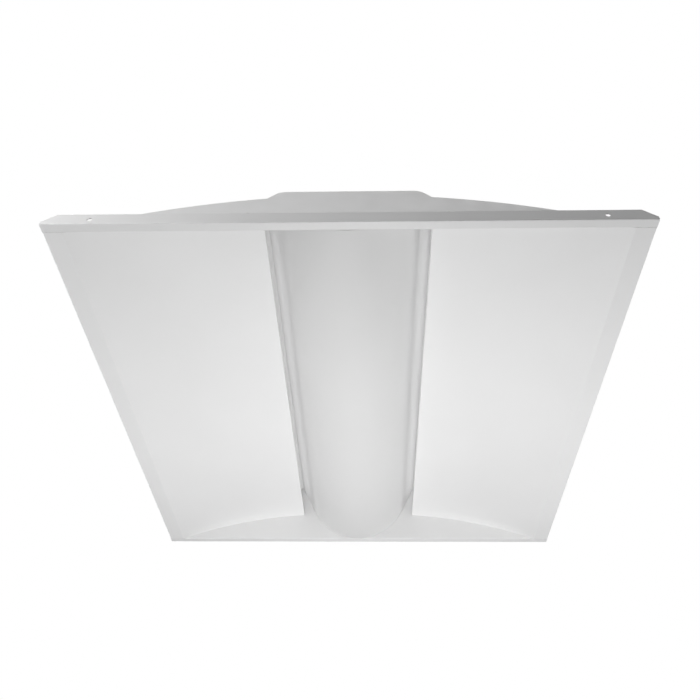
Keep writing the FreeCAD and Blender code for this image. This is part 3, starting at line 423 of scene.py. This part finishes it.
def make_finishes():
    """One finish for each slot of the record."""
    return {
        "white_steel": powder_coat("white_steel", grey(0.85), 0.42, 0.5),
        "reflector_white": powder_coat("reflector_white", grey(0.90), 0.55, 0.4, 0.00003),
        "galvanised": galvanised("galvanised", (0.51, 0.52, 0.53, 1.0)),
        "plated": brushed("plated", (0.56, 0.56, 0.54, 1.0), (1.0, 1.0, 14.0), 0.38),
        "lens": opal("lens", grey(0.78)),
        "foam": foam_strip("foam", (0.72, 0.72, 0.71, 1.0)),
        "aluminium": brushed("aluminium", (0.60, 0.61, 0.62, 1.0), (30.0, 1.0, 30.0), 0.46),
        "board": circuit_board("board", (0.86, 0.86, 0.84, 1.0)),
        "led": phosphor("led", (0.86, 0.66, 0.16, 1.0)),
        "driver_case": powder_coat("driver_case", (0.76, 0.76, 0.74, 1.0), 0.38, 0.7),
        "connector": moulded("connector", (0.82, 0.80, 0.74, 1.0), 0.45),
        "lead": moulded("lead", (0.20, 0.20, 0.22, 1.0), 0.4, 900.0, 0.2),
        "splice": moulded("splice", (0.70, 0.26, 0.05, 1.0), 0.38),
        "ground": moulded("ground", (0.08, 0.36, 0.13, 1.0), 0.4, 900.0, 0.2),
        "grommet": moulded("grommet", (0.045, 0.045, 0.045, 1.0), 0.6),
    }


finishes = make_finishes()


def finish_nodes():
    """Gives every CAD node the finish of its slot in the record."""
    for part in frame["record"]["subparts"]:
        mesh = frame["nodes"][part["node"]].data
        mesh.materials.clear()
        mesh.materials.append(finishes[part["material_slot"]])


# ---------------------------------------------------------------- detail pieces

FOOT_SUNK = 0.3 * MM            # how deep a pressed bead's foot lies in its sheet
BEAD_STEPS = 8                  # across a bead's crown
BEAD_TIP = 0.12                 # a bead's size at its very end, of its full size
PAN_BEADS = (-0.12, -0.04, 0.04, 0.12)          # where each bead lies along the light
PAN_BEAD_SPAN = (130.0 * MM, 262.0 * MM)        # its two ends, out from the middle
PAN_BEAD_STEPS = 32
PAN_BEAD = (11.0 * MM, 1.6 * MM)                # width and height
CHANNEL_BEADS = (-0.215, 0.165, 0.215)
CHANNEL_BEAD_REACH = 46.0 * MM
CHANNEL_BEAD_STEPS = 20
SMALL_BEAD = (8.0 * MM, 1.0 * MM)
COVER_BEAD_INSET = 22.0 * MM
COVER_BEAD_CORNER = 12.0 * MM
CORNER_STEPS = 6                # round a quarter turn
BEVEL_SEGMENTS = 2
WIRE_PITCH = 5.0 * MM
TERMINAL_WAYS = 5
TERMINAL_LENGTH = 13.0 * MM
TERMINAL_EDGE = 0.15 * MM
TERMINAL_SHARP = 25.0           # degrees
FACING = 0.9                    # a face whose normal has this much of a direction faces it
FUNNEL_ROW = (2.7 * MM, 7.3 * MM)               # above the block's foot
BUTTON_ROW = (4.0 * MM, 9.0 * MM)               # in from the block's outer face
# Rim and depth of each step in turn, where a depth below 0 goes inwards
FUNNEL_PRESSES = ((0.4 * MM, 0.0), (0.9 * MM, -2.0 * MM), (0.1 * MM, -3.0 * MM))
BUTTON_PRESSES = ((0.5 * MM, 0.0), (0.05 * MM, -0.8 * MM), (0.3 * MM, 0.0), (0.15 * MM, 1.6 * MM))
CAPS = 3
CAP_POINTS = 64                 # round the cap
CAP_STEPS = 24                  # along it
CAP_TIP = 0.66                  # radius at the tip, of that at the mouth
CAP_RIBS = 16
CAP_RIB = 0.22 * MM
CAP_WING = 1.1 * MM
CAP_WING_POWER = 40             # higher makes the wings thinner
CAP_GRIP = (0.18, 0.75)         # where ribs and wings start along the cap, and how far they run
# Place along the cap, and share of its radius there
CAP_MOUTH = [(0.25, 0.55), (0.25, 0.8), (0.0, 0.84), (0.0, 1.0)]
CAP_DOME = [(0.95, 0.97), (0.98, 0.82), (0.995, 0.5), (1.0, 0.15)]
CAP_SHARP = 50.0                # degrees
PLATE_SIZE = (26.0 * MM, 96.0 * MM, 0.2 * MM)
PLATE_CORNER = 2.5 * MM


def make_piece(name, shape, slot, body="housing", sharp=35.0):
    """Turns a bmesh into a piece on a body, shaded smooth up to an angle in degrees."""
    bmesh.ops.recalc_face_normals(shape, faces=shape.faces)
    mesh = bpy.data.meshes.new(name)
    shape.to_mesh(mesh)
    shape.free()
    mesh.shade_smooth()
    mesh.set_sharp_from_angle(angle=math.radians(sharp))
    mesh.materials.append(finishes[slot])
    piece = bpy.data.objects.new(name, mesh)
    scene.collection.objects.link(piece)
    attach(piece, body)
    return piece


def round_edges(piece, width):
    bevel = piece.modifiers.new("rounded", "BEVEL")
    bevel.width = width
    bevel.segments = BEVEL_SEGMENTS
    bevel.limit_method = "ANGLE"


def loft(shape, rings, closed=False):
    """Skins rings of equal length, and caps the two ends unless they join."""
    rows = [[shape.verts.new(point) for point in ring] for ring in rings]
    count = len(rows[0])
    pairs = list(zip(rows, rows[1:]))
    if closed:
        pairs.append((rows[-1], rows[0]))
    else:
        shape.faces.new(rows[0])
        shape.faces.new(rows[-1])
    for first, second in pairs:
        for index in range(count):
            after = (index + 1) % count
            shape.faces.new((first[index], first[after], second[after], second[index]))


def bead(shape, path, size, closed=False):
    """Pressed ridge along a path of (place, normal), with its foot sunk in the sheet."""
    width, height = size
    ends = (path[0][0], path[-1][0])
    rings = []
    for index, (place, normal) in enumerate(path):
        before = path[index - 1][0] if index or closed else place
        after = path[(index + 1) % len(path)][0] if closed or index + 1 < len(path) else place
        across = normal.cross(after - before).normalized()
        swell = 1.0
        if not closed:
            reach = min((place - end).length for end in ends) / width
            swell = max(BEAD_TIP, math.sqrt(1.0 - (1.0 - min(1.0, reach)) ** 2))
        ring = []
        for step in range(BEAD_STEPS + 1):
            angle = math.pi * step / BEAD_STEPS
            rise = (height + FOOT_SUNK) * swell * math.sin(angle) - FOOT_SUNK
            ring.append(place + across * (math.cos(angle) * width / 2 * swell) + normal * rise)
        rings.append(ring)
    loft(shape, rings, closed)


def eased(start, end, count):
    """Places from start to end, closer together near both."""
    shares = [(1.0 - math.cos(math.pi * step / count)) / 2 for step in range(count + 1)]
    return [start + (end - start) * share for share in shares]


def surface_of(node):
    """Function that gives the place and normal of a node's upper surface at (x, y)."""
    mesh = frame["nodes"][node].data
    places = [vertex.co for vertex in mesh.vertices]
    tree = BVHTree.FromPolygons(places, [face.vertices for face in mesh.polygons])

    def at(x, y):
        place, normal, _, _ = tree.ray_cast(Vector((x, y, 1.0)), Vector((0.0, 0.0, -1.0)))
        return place, normal

    return at


def pan_beads(side, name):
    """Stiffening beads pressed outwards across one back pan."""
    at = surface_of(name + "_back_pan")
    shape = bmesh.new()
    for y in PAN_BEADS:
        bead(shape, [at(side * x, y) for x in eased(*PAN_BEAD_SPAN, PAN_BEAD_STEPS)], PAN_BEAD)
    make_piece(name + "_pan_beads", shape, "white_steel")


def channel_beads():
    """Short beads across the channel's top, clear of the cover, the knockouts and the tabs."""
    at = surface_of("driver_channel")
    across = eased(-CHANNEL_BEAD_REACH, CHANNEL_BEAD_REACH, CHANNEL_BEAD_STEPS)
    shape = bmesh.new()
    for y in CHANNEL_BEADS:
        bead(shape, [at(x, y) for x in across], SMALL_BEAD)
    make_piece("channel_beads", shape, "galvanised")


def rounded_rectangle(low, high, corner):
    """Points round a rectangle in the XY plane, given by two corners, as (x, y)."""
    corners = ((high[0], high[1]), (low[0], high[1]), (low[0], low[1]), (high[0], low[1]))
    points = []
    for turn, (x, y) in enumerate(corners):
        centre_x = x - corner if turn in (0, 3) else x + corner
        centre_y = y - corner if turn in (0, 1) else y + corner
        for step in range(CORNER_STEPS + 1):
            angle = math.pi / 2 * (turn + step / CORNER_STEPS)
            point = (centre_x + corner * math.cos(angle), centre_y + corner * math.sin(angle))
            points.append(point)
    return points


def cover_bead():
    """One bead round the access cover, inside the latch's reach."""
    low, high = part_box("access_cover")
    at = surface_of("access_cover")
    inset = COVER_BEAD_INSET
    outline = rounded_rectangle((low[0] + inset, low[1] + inset),
                                (high[0] - inset, high[1] - inset), COVER_BEAD_CORNER)
    shape = bmesh.new()
    bead(shape, [at(x, y) for x, y in outline], SMALL_BEAD, closed=True)
    make_piece("cover_bead", shape, "galvanised", "access_cover")


def divided_box(low, high, cuts):
    """Closed box whose faces are divided at the given places along each axis."""
    shape = bmesh.new()
    low, high = Vector(low), Vector(high)
    placed = Matrix.Translation((low + high) / 2) @ Matrix.Diagonal((*(high - low), 1.0))
    bmesh.ops.create_cube(shape, size=1.0, matrix=placed)
    for axis, places in enumerate(cuts):
        normal = Vector([float(index == axis) for index in range(3)])
        for place in places:
            everything = shape.verts[:] + shape.edges[:] + shape.faces[:]
            bmesh.ops.bisect_plane(shape, geom=everything, plane_co=normal * place,
                                   plane_no=normal)
    return shape


def press(shape, faces, steps):
    """Insets each face by a rim and moves what is inside it along the normal, step by step."""
    for rim, depth in steps:
        bmesh.ops.inset_individual(shape, faces=faces, thickness=rim, depth=depth)


def terminal_block(name, outward, low, high):
    """Push-in block: a funnel for each wire in its outer end, and a release button above it."""
    middle = (low[0] + high[0]) / 2
    half = WIRE_PITCH * TERMINAL_WAYS / 2
    ways = [middle - half + WIRE_PITCH * index for index in range(TERMINAL_WAYS + 1)]
    outer = high[1] if outward > 0 else low[1]
    rows = [outer - outward * place for place in BUTTON_ROW]
    levels = [low[2] + place for place in FUNNEL_ROW]
    shape = divided_box(low, high, (ways, rows, levels))
    shape.normal_update()

    def inside(face, axis, ends):
        return min(ends) < face.calc_center_median()[axis] < max(ends)

    front = [face for face in shape.faces if face.normal.y * outward > FACING]
    top = [face for face in shape.faces if face.normal.z > FACING]
    funnels = [face for face in front if inside(face, 0, ways) and inside(face, 2, levels)]
    buttons = [face for face in top if inside(face, 0, ways) and inside(face, 1, rows)]
    press(shape, funnels, FUNNEL_PRESSES)
    press(shape, buttons, BUTTON_PRESSES)
    piece = make_piece(name, shape, "connector", sharp=TERMINAL_SHARP)
    round_edges(piece, TERMINAL_EDGE)
    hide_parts("driver_terminals")


def terminal_blocks():
    low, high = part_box("driver_terminals")
    front_high = (high[0], low[1] + TERMINAL_LENGTH, high[2])
    rear_low = (low[0], high[1] - TERMINAL_LENGTH, low[2])
    terminal_block("front_terminal_block", -1, low, front_high)
    terminal_block("rear_terminal_block", 1, rear_low, high)


def cap_radius(along, angle, mouth, tip):
    """Radius of a twist-on cap: a plain skirt, then ribs and wings that fade towards the tip."""
    start, run = CAP_GRIP
    plain = mouth + (tip - mouth) * along
    grip = math.sin(math.pi * min(1.0, max(0.0, (along - start) / run)))
    ribs = CAP_RIB * (1.0 + math.cos(CAP_RIBS * angle)) / 2
    wings = CAP_WING * abs(math.cos(angle)) ** CAP_WING_POWER
    return plain - CAP_RIB + (ribs + wings) * grip


def splice_caps():
    """Twist-on caps on the leads, side by side, open at the mouth and domed at the tip."""
    low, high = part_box("splice_connectors")
    mouth = (high[2] - low[2]) / 2
    tip = mouth * CAP_TIP
    length = high[1] - low[1]
    pitch = (high[0] - low[0] - 2 * mouth) / (CAPS - 1)
    side = [(step / CAP_STEPS, 1.0) for step in range(1, CAP_STEPS - 1)]
    shape = bmesh.new()
    for index in range(CAPS):
        centre = Vector((low[0] + mouth + pitch * index, low[1], low[2] + mouth))
        rings = []
        for along, share in CAP_MOUTH + side + CAP_DOME:
            ring = []
            for step in range(CAP_POINTS):
                angle = math.tau * step / CAP_POINTS
                radius = cap_radius(along, angle, mouth, tip) * share
                x, z = radius * math.cos(angle), radius * math.sin(angle)
                ring.append(centre + Vector((x, length * along, z)))
            rings.append(ring)
        loft(shape, rings)
    piece = make_piece("splice_caps", shape, "splice", sharp=CAP_SHARP)
    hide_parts("splice_connectors")


def driver_plate():
    """Blank rating plate on the driver's lid."""
    low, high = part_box("led_driver")
    width, length, thick = PLATE_SIZE
    x, y = (low[0] + high[0]) / 2, (low[1] + high[1]) / 2
    outline = rounded_rectangle((x - width / 2, y - length / 2),
                                (x + width / 2, y + length / 2), PLATE_CORNER)
    levels = (high[2] - thick / 2, high[2] + thick)
    shape = bmesh.new()
    loft(shape, [[(px, py, z) for px, py in outline] for z in levels])
    make_piece("driver_plate", shape, "aluminium")


def add_details():
    pan_beads(-1, "left")
    pan_beads(1, "right")
    channel_beads()
    cover_bead()
    terminal_blocks()
    splice_caps()
    driver_plate()


# ---------------------------------------------------------------- the scene

add_camera()
add_world()
add_floor()
add_lamps()
finish_nodes()
add_details()

scene.view_settings.view_transform = "Standard"
